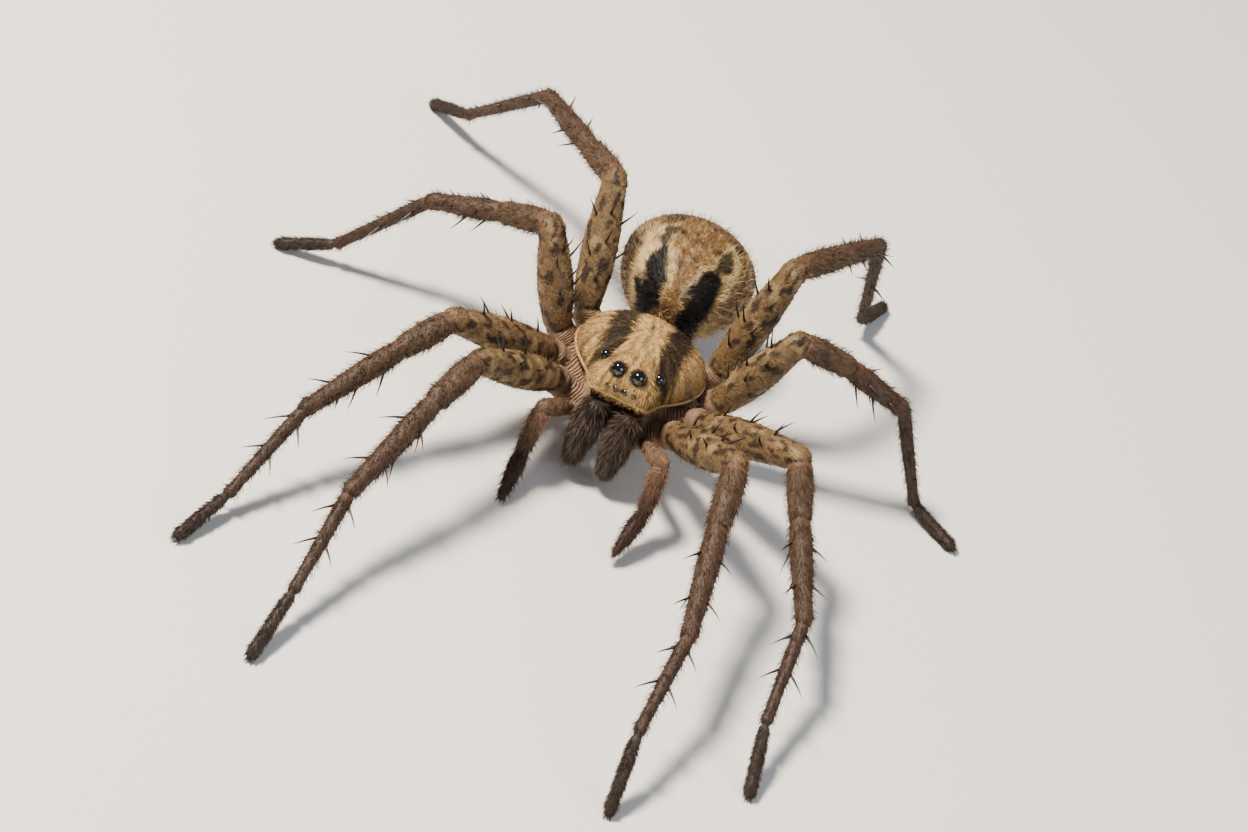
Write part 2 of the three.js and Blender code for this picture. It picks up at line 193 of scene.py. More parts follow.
def along(stops, t):
    """Values read from evenly spaced stops by a smooth curve, for many places at once."""
    stops, t = np.asarray(stops, float), np.asarray(t, float)
    last = len(stops) - 1
    place = np.clip(t, 0, 1) * last
    i = np.minimum(place.astype(int), last - 1)
    f = place - i
    p0, p1 = stops[np.maximum(i - 1, 0)], stops[i]
    p2, p3 = stops[i + 1], stops[np.minimum(i + 2, last)]
    a, b = (p2 - p0) / 2, (p3 - p1) / 2
    return (2 * p1 - 2 * p2 + a + b) * f**3 + (3 * p2 - 3 * p1 - 2 * a - b) * f**2 + a * f + p1


print("eight legs and two palps to place")

# %% [markdown]
# Skin, coat and spines all ask the same things of a place on the spider: which part is it on, how
# far along, and how far round. So each part is an object that can answer for many points at once.
# A limb's length answers by its axis, and a loaf by the ellipse of its nearest station.


# %% The parts that answer
CROWN = [0, 0.3, 0]


class Length:
    """One length of a limb, a round rod with stops of radius from its near end to its far end."""

    def __init__(self, limb, kind, start, end, radii, wide=1.0, high=1.0):
        self.limb, self.kind, self.radii = limb, kind, [r - COAT_DEPTH for r in radii]
        self.start, self.end = np.array(start, float), np.array(end, float)
        self.wide, self.high = wide, high
        axis = self.end - self.start
        self.size = float(np.linalg.norm(axis))
        self.axis = axis / self.size
        side = np.cross(self.axis, [0, 0, 1])
        self.side = side / np.linalg.norm(side)
        self.top = np.cross(self.side, self.axis)

    def locate(self, points):
        """Share along, angle round from the top, and height above the skin."""
        away = points - self.start
        share = np.clip(away @ self.axis / self.size, 0, 1)
        x, z = away @ self.side / self.wide, away @ self.top / self.high
        reach = np.linalg.norm(points - (self.start + share[:, None] * self.size * self.axis), axis=1)
        return share, np.arctan2(x, z), reach - along(self.radii, share)

    def lie(self, points):
        """The way hair lies: along the limb, out to the tip."""
        return np.tile(self.axis, (len(points), 1))


class Loaf:
    """A rounded body swept along Y through its stations."""

    def __init__(self, kind, stations, level):
        self.limb, self.kind, self.level = "body", kind, level
        self.stations = np.array(stations, float)
        self.shares = np.linspace(0, 1, 80)
        self.backs = along(self.stations[:, 0], self.shares)
        self.size = float(self.backs[-1] - self.backs[0])

    def section(self, share):
        """Distance back, half width, height of the widest line, and rise above and depth below it."""
        y, wide, line, above, below = (along(self.stations[:, k], share) for k in range(5))
        below = np.maximum(below - COAT_DEPTH, LEAST_DEPTH)
        return y, wide - COAT_DEPTH, self.level + line, above - COAT_DEPTH, below

    def locate(self, points):
        share = np.interp(points[:, 1], self.backs, self.shares)
        y, wide, line, above, below = self.section(share)
        rise = points[:, 2] - line
        half = np.where(rise > 0, above, below)
        x, z = points[:, 0] / wide, rise / half
        height = (np.hypot(x, z) - 1) * np.minimum(wide, half)
        return share, np.arctan2(x, z), height + np.abs(points[:, 1] - y)

    def lie(self, points):
        """The way hair lies: out from the crown on the carapace, and back on the abdomen."""
        if self.kind == "abdomen":
            return np.tile([0.0, 1.0, -0.15], (len(points), 1))
        away = (points - CROWN) * [1, 1, 0]
        return away / (np.linalg.norm(away, axis=1)[:, None] + 0.2) - [0, 0, 0.3]


def leg_lengths(name, side, number):
    """All the lengths of one leg, from the coxa to the foot."""
    turns, rises, ankle = STANCE[name]
    joints = [np.array([side * x, y, z]) for x, y, z in HIPS[number]]
    for i, size in enumerate(LENGTHS[number]):
        before = joints[-1]
        drop = {3: ankle, 4: FOOT_HEIGHT}.get(i)
        rise = rises[i] if drop is None else math.degrees(math.asin((drop - before[2]) / size))
        joints.append(before + size * heading(side, turns[i], rise))
    return [
        Length("leg_" + name, kind, a, b, radii)
        for (kind, radii), a, b in zip(THICKNESS.items(), joints, joints[1:])
    ]


def palp_lengths(name, side):
    """All the lengths of one palp."""
    turns, rises = PALP_STANCE[name]
    joints = [np.array([side * x, y, z]) for x, y, z in (PALP_ROOT, PALP_BASE)]
    for size, turn, rise in zip(PALP_LENGTHS, turns, rises):
        joints.append(joints[-1] + size * heading(side, turn, rise))
    return [
        Length("palp_" + name, kind, a, b, radii)
        for (kind, radii), a, b in zip(PALP_THICKNESS.items(), joints, joints[1:])
    ]


# %% [markdown]
# The jaws hang from the face and lean a little forward. They too are lengths, only thicker than
# they are wide, and so are the waist, the belly's plate and the four small spinnerets.

# %% All the parts
JAW = {"x": 1.05, "y": -4.6, "top": 4.6, "length": 3.1, "radius": 0.92, "lean": 14}


def jaw_length(name, side):
    """One jaw, leaning forward and down."""
    start = np.array([side * JAW["x"], JAW["y"], JAW["top"]])
    lean = math.radians(JAW["lean"])
    end = start + JAW["length"] * np.array([0, -math.sin(lean), -math.cos(lean)])
    radii = [share * JAW["radius"] for share in (0.92, 1.02, 0.95, 0.72)]
    return Length("jaw_" + name, "jaw", start, end, radii, 0.98, 1.1)


carapace = Loaf("carapace", CARAPACE, RIM_HEIGHT)
abdomen = Loaf("abdomen", ABDOMEN, ABDOMEN_HEIGHT)
waist = Length("body", "waist", (0, 2.9, 3.4), (0, 5.6, 4.4), [0.6, 0.65, 0.7])
belly = Length("body", "underside", (0, -2.9, 3.7), (0, 2.6, 3.6), [1.25, 1.6, 1.6, 1.3], wide=1.6)
spinneret_lengths = [
    Length("body", "spinneret", (0.22 * s, 14.5, 4.6 + d), (0.34 * s, 16.0, 4.6 + 1.7 * d), [0.4, 0.34, 0.22])
    for s in (-1, 1)
    for d in (-0.2, 0.2)
]
parts = [carapace, abdomen, waist, belly] + spinneret_lengths
for name, side in SIDES.items():
    parts.append(jaw_length(name, side))
    parts += palp_lengths(name, side)
    for number in LENGTHS:
        parts += leg_lengths(f"{name}_{number}", side, number)
print(len(parts), "parts answer for the whole animal")

# %% [markdown]
# The skin starts as tubes that run into one another. They could be spheres pulled long, but a real
# leg swells and narrows along its way. So a circle is made once for each tube, and its rim is
# extruded from station to station, each time moved, turned and scaled by one matrix. This keeps
# every tube closed and round, and the overlaps are melted away in the next step.


# %% Loft tubes through their stations
TUBE_SIDES, LOAF_SIDES = 20, 48
TUBE_SECTIONS, LOAF_SECTIONS = 9, 30
ROUND_END = [(0.55, 0.82), (0.85, 0.4)]


def loft(bm, sections, sides):
    """Sweeps a unit circle through a list of matrices and closes both ends."""
    ring = bmesh.ops.create_circle(bm, segments=sides, radius=1)["verts"]
    bmesh.ops.transform(bm, matrix=sections[0], verts=ring)
    edges = list({e for v in ring for e in v.link_edges})
    caps = list(edges)
    for before, after in zip(sections, sections[1:]):
        grown = bmesh.ops.extrude_edge_only(bm, edges=edges)["geom"]
        ring = [g for g in grown if isinstance(g, bmesh.types.BMVert)]
        fresh = set(ring)
        edges = [e for v in ring for e in v.link_edges if e.other_vert(v) in fresh]
        edges = list(set(edges))
        bmesh.ops.transform(bm, matrix=after @ before.inverted(), verts=ring)
    bmesh.ops.holes_fill(bm, edges=caps + edges, sides=0)


def placed(centre, side, top, axis, wide, high):
    """A matrix that takes the unit circle to one section of a tube."""
    turn = Matrix([[side[i] * wide, top[i] * high, axis[i]] for i in range(3)]).to_4x4()
    return Matrix.Translation(Vector(centre)) @ turn


def length_sections(length):
    """Sections of a limb's length, with rounded ends that reach into its neighbours."""
    first, last = length.radii[0], length.radii[-1]
    places = [(-out * first, wide * first) for out, wide in reversed(ROUND_END)]
    for share in np.linspace(0, 1, TUBE_SECTIONS):
        places.append((share * length.size, float(along(length.radii, share))))
    places += [(length.size + out * last, wide * last) for out, wide in ROUND_END]
    return [
        placed(length.start + at * length.axis, length.side, length.top, length.axis,
               r * length.wide, r * length.high)
        for at, r in places
    ]


def loft_loaf(bm, loaf):
    """Sweeps a rounded body, then lets it hang below its widest line by its own depth."""
    sections, folded = [], []
    for share in np.linspace(0, 1, LOAF_SECTIONS):
        y, wide, line, above, below = (float(v) for v in loaf.section(share))
        sections.append(placed((0, y, line), (1, 0, 0), (0, 0, 1), (0, 1, 0), wide, above))
        folded.append((y, line, below / above))
    before = set(bm.verts)
    loft(bm, sections, LOAF_SIDES)
    backs, lines, ratios = np.array(folded).T
    for v in set(bm.verts) - before:
        line = np.interp(v.co.y, backs, lines)
        if v.co.z < line:
            v.co.z = line + (v.co.z - line) * np.interp(v.co.y, backs, ratios)


print("tubes have", TUBE_SIDES, "sides, and the loaves", LOAF_SIDES)

# %% [markdown]
# Every part gets its tube. An eye sits in a low socket, which is a ball a little larger than the
# eye, pushed back into the head. All of them go into one bmesh, because they are to become one.

# %% Tubes for all parts and sockets for the eyes
SOCKET = {"inward": 0.97, "back": 0.3, "down": 0.25, "size": 1.08}
tubes = bmesh.new()
for part in parts:
    if isinstance(part, Loaf):
        loft_loaf(tubes, part)
    else:
        loft(tubes, length_sections(part), TUBE_SIDES)
for side in SIDES.values():
    for x, y, above, radius in EYES.values():
        height = RIM_HEIGHT + above - SOCKET["down"] * radius
        spot = Matrix.Translation((side * x * SOCKET["inward"], y + SOCKET["back"] * radius, height))
        size = radius * SOCKET["size"]
        bmesh.ops.create_uvsphere(tubes, u_segments=16, v_segments=10, radius=size, matrix=spot)
bmesh.ops.recalc_face_normals(tubes, faces=tubes.faces)
print(len(tubes.faces), "faces in the tubes")

# %% [markdown]
# Real skin has no seams where a leg meets the body. Joining the tubes by Boolean would leave sharp
# edges there. A voxel remesh wraps all of them in one closed surface instead, fine enough for the
# smallest joint, and a few rounds of smoothing take the stair steps out of it.

# %% Melt the tubes into one skin
SKIN_VOXEL = 0.165
skin_mesh = bpy.data.meshes.new("skin")
tubes.to_mesh(skin_mesh)
tubes.free()
skin = bpy.data.objects.new("skin", skin_mesh)
bpy.context.scene.collection.objects.link(skin)
remesh = skin.modifiers.new("one_surface", "REMESH")
remesh.mode = "VOXEL"
remesh.voxel_size = SKIN_VOXEL
smooth = skin.modifiers.new("settle", "SMOOTH")
smooth.factor = 0.5
smooth.iterations = 5


def apply_modifiers(obj):
    """Replaces an object's mesh by what its modifiers make of it."""
    graph = bpy.context.evaluated_depsgraph_get()
    made = bpy.data.meshes.new_from_object(obj.evaluated_get(graph))
    obj.modifiers.clear()
    obj.data = made


apply_modifiers(skin)
print("the skin has", len(skin.data.polygons), "faces")

# %% [markdown]
# Which part a point of skin belongs to is settled once: every part measures the point's height
# above its own surface, and the lowest wins. The share along and the angle round come with the
# answer, and so does the gap to the next lowest. Where that gap is small, two parts meet.


# %% Ask which part each point is on
def coordinates(mesh):
    """The vertices of a mesh as rows of x, y and z."""
    flat = np.empty(len(mesh.vertices) * 3, np.float32)
    mesh.vertices.foreach_get("co", flat)
    return flat.reshape(-1, 3).astype(float)


def sort_points(points):
    """For each point its part's number, the share along, the angle round and the gap to the next part."""
    best, second = np.full((2, len(points)), 1e9)
    which = np.zeros(len(points), int)
    share, angle = np.zeros(len(points)), np.zeros(len(points))
    for i, part in enumerate(parts):
        s, a, height = part.locate(points)
        nearer = height < best
        second = np.where(nearer, best, np.minimum(second, height))
        best[nearer], which[nearer] = height[nearer], i
        share[nearer], angle[nearer] = s[nearer], a[nearer]
    return which, share, angle, second - best


skin_points = coordinates(skin.data)
skin_part, skin_share, skin_angle, skin_gap = sort_points(skin_points)
print("points on the carapace:", int((skin_part == 0).sum()))

# %% [markdown]
# The carapace is not smooth: a short pit marks where the gut's muscles hang inside, and shallow
# furrows run from it to the gaps between the legs and round the head. The abdomen has two rows of
# dimples. A limb has a crease where two lengths meet, and swells a little before it. Bump alone
# would not show on the outline, so all of this is pressed into the skin as soft dents.

# %% Press in the furrows
PIT = [(0.0, 0.7), (0.0, 1.9)]
FURROWS = [
    PIT,
    [(0.25, 0.5), (2.2, -2.1)],
    [(0.6, 0.8), (3.5, -0.7)],
    [(0.6, 1.4), (3.7, 1.4)],
    [(0.5, 1.9), (3.0, 3.0)],
]
DIMPLES = [(1.0, 8.1), (1.25, 9.8), (1.2, 11.4)]
PIT_SIZE, FURROW_SIZE, DIMPLE_SIZE = (0.16, 0.22), (0.2, 0.12), (0.22, 0.12)
CREASE_GAP, CREASE_DEPTH = 0.022, 0.14
SWELLING = {"before_end": 0.3, "width": 0.2, "height": 0.06}
CREASE_SHARE = dict.fromkeys(THICKNESS, 1.0) | dict.fromkeys(PALP_THICKNESS, 0.45)


def distance_to(a, b, x, y):
    """Distance in the flat from points to the stretch between a and b."""
    a, b = np.array(a), np.array(b)
    p = np.c_[x, y] - a
    t = np.clip(p @ (b - a) / ((b - a) @ (b - a)), 0, 1)
    return np.linalg.norm(p - t[:, None] * (b - a), axis=1)


sizes = np.array([part.size for part in parts])[skin_part]
jointed = np.array([CREASE_SHARE.get(part.kind, 0) for part in parts])[skin_part]
to_end = (1 - skin_share) * sizes
crease = jointed * np.exp(-((skin_gap / CREASE_GAP) ** 2))
swelling = jointed * np.exp(-(((to_end - SWELLING["before_end"]) / SWELLING["width"]) ** 2))
x, y, z = skin_points.T
dent = CREASE_DEPTH * crease - SWELLING["height"] * swelling
on_carapace = (skin_part == 0) & (z > RIM_HEIGHT + 0.2)
on_abdomen = (skin_part == 1) & (z > ABDOMEN_HEIGHT)
for furrow in FURROWS:
    wide, deep = PIT_SIZE if furrow is PIT else FURROW_SIZE
    near = np.exp(-((distance_to(*furrow, np.abs(x), y) / wide) ** 2))
    dent = np.where(on_carapace, np.maximum(dent, deep * near), dent)
for spot in DIMPLES:
    near = np.exp(-((np.hypot(np.abs(x) - spot[0], y - spot[1]) / DIMPLE_SIZE[0]) ** 2))
    dent = np.where(on_abdomen, np.maximum(dent, DIMPLE_SIZE[1] * near), dent)
normals = np.empty(len(x) * 3, np.float32)
skin.data.vertex_normals.foreach_get("vector", normals)
skin_points -= dent[:, None] * normals.reshape(-1, 3)
skin.data.vertices.foreach_set("co", skin_points.astype(np.float32).ravel())
print("deepest dent", round(float(dent.max()), 2), "mm")

# %% [markdown]
# The markings are painted once, as a function of place, and then given to the skin and to every
# hair alike, so that the coat and what is under it never disagree. Patches get feathered edges by
# pushing the place about with a soft, random ripple before it is looked up.


# %% Colour helpers
def paint(code):
    """A hexadecimal screen colour as linear red, green and blue."""
    screen = np.array([int(code[i : i + 2], 16) for i in (0, 2, 4)]) / 255
    return np.where(screen <= 0.04045, screen / 12.92, ((screen + 0.055) / 1.055) ** 2.4)


PALE = paint("c9a56a")
CREAM = paint("d6b985")
TAN = paint("88683f")
BROWN = paint("62442a")
BAND = paint("170e07")
DARK = paint("2b1c10")
BLACK = paint("0d0805")
RUST = paint("7a5038")
FLESH = paint("927158")
RED_BROWN = paint("4c2013")
GREY_BROWN = paint("3c3029")


def ripple(points, size, seed):
    """Soft random waves from about -1 to 1, size millimetres from crest to crest."""
    rng = np.random.default_rng(seed)
    waves = rng.normal(size=(10, 3))
    waves *= (2 * np.pi / size) * rng.uniform(0.6, 1.6, (10, 1)) / np.linalg.norm(waves, axis=1)[:, None]
    phases = rng.uniform(0, 2 * np.pi, 10)
    return np.sin(points @ waves.T + phases).sum(1) / 3.2


def ease(low, high, value):
    """A smooth step from 0 at low to 1 at high."""
    t = np.clip((value - low) / (high - low), 0, 1)
    return t * t * (3 - 2 * t)


def mix(a, b, share):
    """Blends rows of colour by a share for each row."""
    return a + (b - a) * np.clip(share, 0, 1)[:, None]


def patch(x, y, centre, half, turn=0.0):
    """A soft oval mark: 1 inside, 0 outside."""
    c, s = math.cos(turn), math.sin(turn)
    u, v = x - centre[0], y - centre[1]
    return 1 - ease(0.75, 1.15, np.hypot((u * c + v * s) / half[0], (v * c - u * s) / half[1]))


print("eleven paints mixed")

# %% [markdown]
# The carapace has a pale band down its middle, a dark band on each side of it, and pale flanks with
# dark flecks near the rim. The bands' edges run out in streaks away from the middle of the back.


# %% Markings of the carapace
BAND_STOPS = [-4.5, -3.3, -2.2, -1.0, 0.5, 2.5, 4.6]
BAND_INNER = [2.2, 1.4, 1.12, 0.95, 0.9, 0.95, 0.8]
BAND_OUTER = [2.4, 2.2, 2.3, 2.35, 2.45, 2.4, 1.6]


def carapace_colour(p):
    """Pale ground, two dark bands, flecked flanks, black rings round the eyes and a red underside."""
    x, y, z = p.T
    spoke = np.arctan2(x, y - 0.8)
    streaks = ripple(np.c_[spoke * 6, np.hypot(x, y) * 0.5, z * 0], 1.2, 3)
    fine = ripple(np.c_[spoke * 14, np.hypot(x, y) * 0.8, z * 0], 1.3, 4)
    u = np.abs(x) + 0.13 * streaks + 0.06 * fine
    inner, outer = np.interp(y, BAND_STOPS, BAND_INNER), np.interp(y, BAND_STOPS, BAND_OUTER)
    fading = 0.2 + 0.8 * ease(-3.4, -2.3, y)
    dark = ease(-0.2, 0.16, u - inner) * (1 - ease(-0.2, 0.35, u - outer)) * fading
    colour = mix(np.tile(PALE, (len(p), 1)), TAN, 0.35 + 0.45 * fine)
    hairlines = ripple(np.c_[spoke * 22, np.hypot(x, y), z * 0], 1.3, 5)
    colour = mix(colour, BROWN, 0.55 * ease(0.35, 1.0, hairlines))
    colour = mix(colour, TAN, 0.55 * ease(2.5, 3.5, u) * ease(-2.6, -1.6, y))
    colour = mix(colour, BAND, dark * (0.96 + 0.06 * streaks))
    low = (1 - ease(0.25, 0.9, z - RIM_HEIGHT)) * ease(-3.0, -2.0, y)
    colour = mix(colour, DARK, 0.8 * low * ease(0.25, 0.6, ripple(p, 0.9, 7)))
    for furrow in FURROWS[1:]:
        near = 1 - ease(0.05, 0.3, distance_to(*furrow, np.abs(x), y))
        colour = mix(colour, DARK, 0.35 * near * (u > 1.2))
    thread = 1 - ease(0.04, 0.13, np.abs(x + 0.03 * streaks))
    thread = thread * ease(-3.2, -2.4, y) * (1 - ease(1.6, 2.1, y))
    colour = mix(colour, DARK, 0.75 * thread)
    for ex, ey, above, radius in EYES.values():
        for s in (-1, 1):
            away = np.linalg.norm(p - [s * ex, ey, RIM_HEIGHT + above], axis=1)
            colour = mix(colour, BLACK, 1 - ease(1.1 * radius, 1.45 * radius, away))
    beneath = ease(0.05, 0.3, RIM_HEIGHT - 0.05 - z) * (np.hypot(x / 3.6, y / 4.4) < 1)
    return mix(colour, RED_BROWN, beneath)


# %% [markdown]
# The abdomen is mottled tan, with a black patch on each shoulder that is edged in cream, a second
# smaller pair behind it, and flanks freckled with cream and brown. Its front face, towards the
# carapace, carries a painted shadow in black.


# %% Markings of the abdomen
def abdomen_colour(p):
    """Mottled ground, freckled flanks, chevrons behind, then cream edges, the black marks on top and a
    painted shadow on the front.
    """
    x, y, z = p.T
    wobble = ripple(p, 1.6, 11)
    fine = ripple(p, 0.5, 12)
    front = np.clip(ABDOMEN_HEIGHT + 3.2 - z, 0, 4) * (y < 8)
    run = y - 0.9 * front
    u = np.abs(x) + 0.16 * wobble + 0.09 * fine
    v = run + 0.3 * ripple(p, 1.7, 13)
    colour = mix(np.tile(TAN, (len(p), 1)), BROWN, 0.4 + 0.45 * wobble)
    colour = mix(colour, CREAM, 0.45 * ease(0.5, 1.1, fine))
    colour = mix(colour, DARK, 0.5 * ease(0.5, 1.0, -fine))
    flank = ease(2.5, 3.2, u)
    freckled = mix(np.tile(CREAM * 0.62, (len(p), 1)), BROWN, ease(-0.5, 0.3, ripple(p, 0.8, 14)))
    colour = mix(colour, freckled, 0.8 * flank)
    colour = mix(colour, BROWN, 0.85 * ease(10.5, 12.5, y))
    chevron = np.abs((y + 0.55 * np.abs(x) + 0.3 * wobble) % 1.5 - 0.75)
    colour = mix(colour, DARK, 0.6 * ease(10.0, 10.8, y) * (1 - ease(0.12, 0.34, chevron)) * (u < 2.6))
    cream = patch(u, v, (1.75, 5.0), (1.3, 3.5), -0.12)
    cream = np.maximum(cream, 0.75 * patch(u, v, (2.2, 8.6), (0.85, 1.5)))
    colour = mix(colour, CREAM, 0.9 * cream)
    shoulder = patch(u, v, (1.5, 4.4), (0.9, 3.3), -0.12)
    # painted shadow: the front face of the abdomen, towards the carapace, is painted black as if shade falls
    # there
    front_shadow = patch(u, v, (0.4, 0.5), (1.7, 1.5))
    second = patch(u, v, (1.95, 8.4), (0.45, 1.2), -0.1)
    arm = patch(u, v, (1.3, 8.9), (0.6, 0.32), 0.2)
    third = 0.8 * patch(u, v, (2.0, 10.5), (0.5, 0.6)) + 0.6 * patch(u, v, (1.6, 11.9), (0.5, 0.4))
    colour = mix(colour, BLACK, np.maximum(shoulder, front_shadow))
    colour = mix(colour, BLACK, 0.9 * np.maximum(np.maximum(second, arm), third))
    under = ease(0.4, -0.6, (z - ABDOMEN_HEIGHT + 1.6))
    return mix(colour, BROWN, 0.6 * under)


# %% [markdown]
# Legs are tan on the thighs with dark blotches along them. From the knee out they turn a redder,
# darker brown, with a rust ring at the near end of the next three lengths, and end in dark brushes.


# %% Markings of the limbs
LIMB_PAINTS = {
    "coxa": (FLESH, BROWN, 0.0),
    "trochanter": (FLESH, BROWN, 0.1),
    "femur": (paint("745b3b"), DARK, 0.9),
    "patella": (paint("594431"), DARK, 0.5),
    "tibia": (paint("4f3a2b"), DARK, 0.45),
    "metatarsus": (paint("433125"), DARK, 0.2),
    "tarsus": (paint("352b25"), DARK, 0.0),
    "palp_coxa": (FLESH, BROWN, 0.0),
    "palp_femur": (paint("7d614a"), DARK, 0.4),
    "palp_patella": (paint("745744"), DARK, 0.4),
    "palp_tibia": (paint("553e30"), DARK, 0.3),
    "palp_tarsus": (paint("3b2a21"), DARK, 0.1),
    "jaw": (GREY_BROWN, BLACK, 0.3),
    "waist": (RED_BROWN, BLACK, 0.2),
    "underside": (RED_BROWN, BLACK, 0.2),
    "spinneret": (BROWN, DARK, 0.2),
}
RINGED = {"patella": 0.6, "tibia": 0.35, "metatarsus": 0.3, "palp_patella": 0.3, "palp_tibia": 0.3}


def limb_colour(part, p, share, angle):
    """A limb's own paint with blotches, a rust ring at some joints and a dark start."""
    base, mark, amount = LIMB_PAINTS[part.kind]
    soft = ripple(p, 1.5, 21)
    fine = ripple(p, 0.5, 22)
    colour = mix(np.tile(base, (len(p), 1)), mark, 0.15 + 0.2 * fine)
    rolled = np.c_[0.5 * part.size * share, 0.8 * np.cos(angle), 0.8 * np.sin(angle)] + part.start
    blotches = ease(0.34, 0.62, ripple(rolled, 0.62, 23) + 0.25 * fine)
    colour = mix(colour, mark, amount * blotches)
    if part.kind in RINGED:
        colour = mix(colour, RUST, RINGED[part.kind] * (1 - ease(0.2, 0.7, share * part.size + 0.15 * soft)))
    colour = mix(colour, DARK, 0.85 * (1 - ease(0.06, 0.24, share * part.size)))
    if part.kind == "femur":
        colour = mix(colour, CREAM, 0.22 * ease(0.4, 1.0, soft) * (1 - blotches))
    return colour


def coat_colour(p, which, share, angle):
    """The colour of the skin and the coat at points already sorted to their parts."""
    colour = np.zeros((len(p), 3))
    for i, part in enumerate(parts):
        here = which == i
        if not here.any():
            continue
        q, s, a = p[here], share[here], angle[here]
        if part.kind == "carapace":
            colour[here] = carapace_colour(q)
        elif part.kind == "abdomen":
            colour[here] = abdomen_colour(q)
        else:
            colour[here] = limb_colour(part, q, s, a)
    return np.clip(colour, 0, 1)


def store_colour(mesh, colour):
    """Keeps one colour for each vertex under the name that the materials read."""
    layer = mesh.attributes.new("coat", "FLOAT_COLOR", "POINT")
    layer.data.foreach_set("color", np.c_[colour, np.ones(len(colour))].astype(np.float32).ravel())


# painted shade: the skin is darkened all over to look deeper under its coat, and darker again in the creases
# where two parts meet
SKIN_SHADE, CREASE_SHADE = 0.8, 0.8
skin_shade = SKIN_SHADE * (1 - CREASE_SHADE * crease)
skin_colour = coat_colour(skin_points, skin_part, skin_share, skin_angle)
store_colour(skin.data, skin_shade[:, None] * skin_colour)
print("painted", len(skin_points), "points of skin")

# %% [markdown]
# The soft skin at the hips and on the palps is pleated across. A pleat is hardly wider than one
# face of the skin, so the material makes it. What it needs is stored here for each point: how many
# pleats lie before it, and how strong they are there.

# %% Count the pleats
FOLDS = {"coxa": 11, "trochanter": 8, "palp_coxa": 6, "palp_femur": 9, "palp_patella": 5, "waist": 6}
phase, strength = np.zeros(len(skin_points)), np.zeros(len(skin_points))
for i, part in enumerate(parts):
    if part.kind in FOLDS:
        here = skin_part == i
        bow = 0.12 * np.cos(skin_angle[here])
        phase[here] = FOLDS[part.kind] * (skin_share[here] + bow)
        strength[here] = ease(0, 0.15, skin_share[here]) * (1 - ease(0.85, 1, skin_share[here]))
layer = skin.data.attributes.new("folds", "FLOAT_VECTOR", "POINT")
layer.data.foreach_set("vector", np.c_[phase, strength, phase * 0].astype(np.float32).ravel())
print("pleated", int((strength > 0).sum()), "points of skin")

# %% [markdown]
# Material arithmetic reads better as plain expressions. A small class wraps a socket, and adding or
# multiplying two of them adds the Math node that does it. Any other node comes from one method.


# %% Shader maths as Python
class Wire:
    """A shader socket that can be used in arithmetic."""

    def __init__(self, tree, socket):
        self.tree, self.socket = tree, socket

    def node(self, kind, settings=None, sockets=None, out=0):
        """Adds a node, sets it up, feeds its sockets and returns one of its outputs."""
        made = self.tree.nodes.new(kind)
        for key, value in (settings or {}).items():
            if key == "stops":
                ramp = made.color_ramp
                while len(ramp.elements) < len(value):
                    ramp.elements.new(0.5)
                for element, (place, colour) in zip(ramp.elements, value):
                    element.position, element.color = place, (*colour, 1)
            else:
                setattr(made, key, value)
        for key, value in (sockets or {}).items():
            target = made.inputs[key]
            if isinstance(value, Wire):
                self.tree.links.new(value.socket, target)
            else:
                target.default_value = value
        return Wire(self.tree, made.outputs[out])

    def _math(self, operation, a, b):
        return self.node("ShaderNodeMath", {"operation": operation}, {0: a, 1: b})

    def __add__(self, other):
        return self._math("ADD", self, other)

    __radd__ = __add__

    def __sub__(self, other):
        return self._math("SUBTRACT", self, other)

    def __rsub__(self, other):
        return self._math("SUBTRACT", other, self)

    def __mul__(self, other):
        return self._math("MULTIPLY", self, other)

    __rmul__ = __mul__


def new_material(name):
    """An empty material with its shader, and wires to start from."""
    material = bpy.data.materials.new(name)
    material.use_nodes = True
    tree = material.node_tree
    shader = next(n for n in tree.nodes if n.type == "BSDF_PRINCIPLED")
    place = Wire(tree, None).node("ShaderNodeTexCoord", out="Object")
    return material, tree, shader, place


def feed(tree, shader, **sockets):
    """Sets sockets of the shader to numbers or wires. Underscores in names stand for spaces."""
    for key, value in sockets.items():
        target = shader.inputs[key.replace("_", " ")]
        if isinstance(value, Wire):
            tree.links.new(value.socket, target)
        else:
            target.default_value = value


print("the shader helpers are ready")

# %% [markdown]
# Under the hair the skin is matt and finely wrinkled, and the hips are ringed by fine pleats. Both
# are bump, because they are smaller than a hair is long. A scale counts the marks in a metre,
# so a grain of 9000 is about a tenth of a millimetre across.


# %% Skin material
GRAIN, WRINKLES, WANDER = 9000, 5200, 1500


def skin_material():
    """Painted skin with grain, wrinkles and pleats."""
    material, tree, shader, place = new_material("skin")
    coat = place.node("ShaderNodeAttribute", {"attribute_name": "coat"}, out="Color")
    grain = place.node("ShaderNodeTexNoise", None, {"Vector": place, "Scale": GRAIN, "Detail": 3}, out="Fac")
    wrinkles = place.node("ShaderNodeTexVoronoi", None, {"Vector": place, "Scale": WRINKLES}, out="Distance")
    shade = grain * 0.7 + 0.62
    colour = place.node("ShaderNodeVectorMath", {"operation": "SCALE"}, {0: coat, "Scale": shade})
    folds = place.node("ShaderNodeAttribute", {"attribute_name": "folds"}, out="Vector")
    phase = place.node("ShaderNodeSeparateXYZ", None, {"Vector": folds}, out="X")
    strength = place.node("ShaderNodeSeparateXYZ", None, {"Vector": folds}, out="Y")
    slow = {"Vector": place, "Scale": WANDER, "Detail": 1}
    wander = place.node("ShaderNodeTexNoise", None, slow, out="Fac")
    waves = place.node("ShaderNodeMath", {"operation": "SINE"}, {0: phase * 6.2832 + wander * 7})
    relief = grain * 0.6 + wrinkles * 0.5 + waves * strength * 0.6
    bump = place.node("ShaderNodeBump", None, {"Height": relief, "Strength": 0.7, "Distance": 0.00006})
    feed(tree, shader, Base_Color=colour, Roughness=0.62, Normal=bump, Specular_IOR_Level=0.35)
    return material


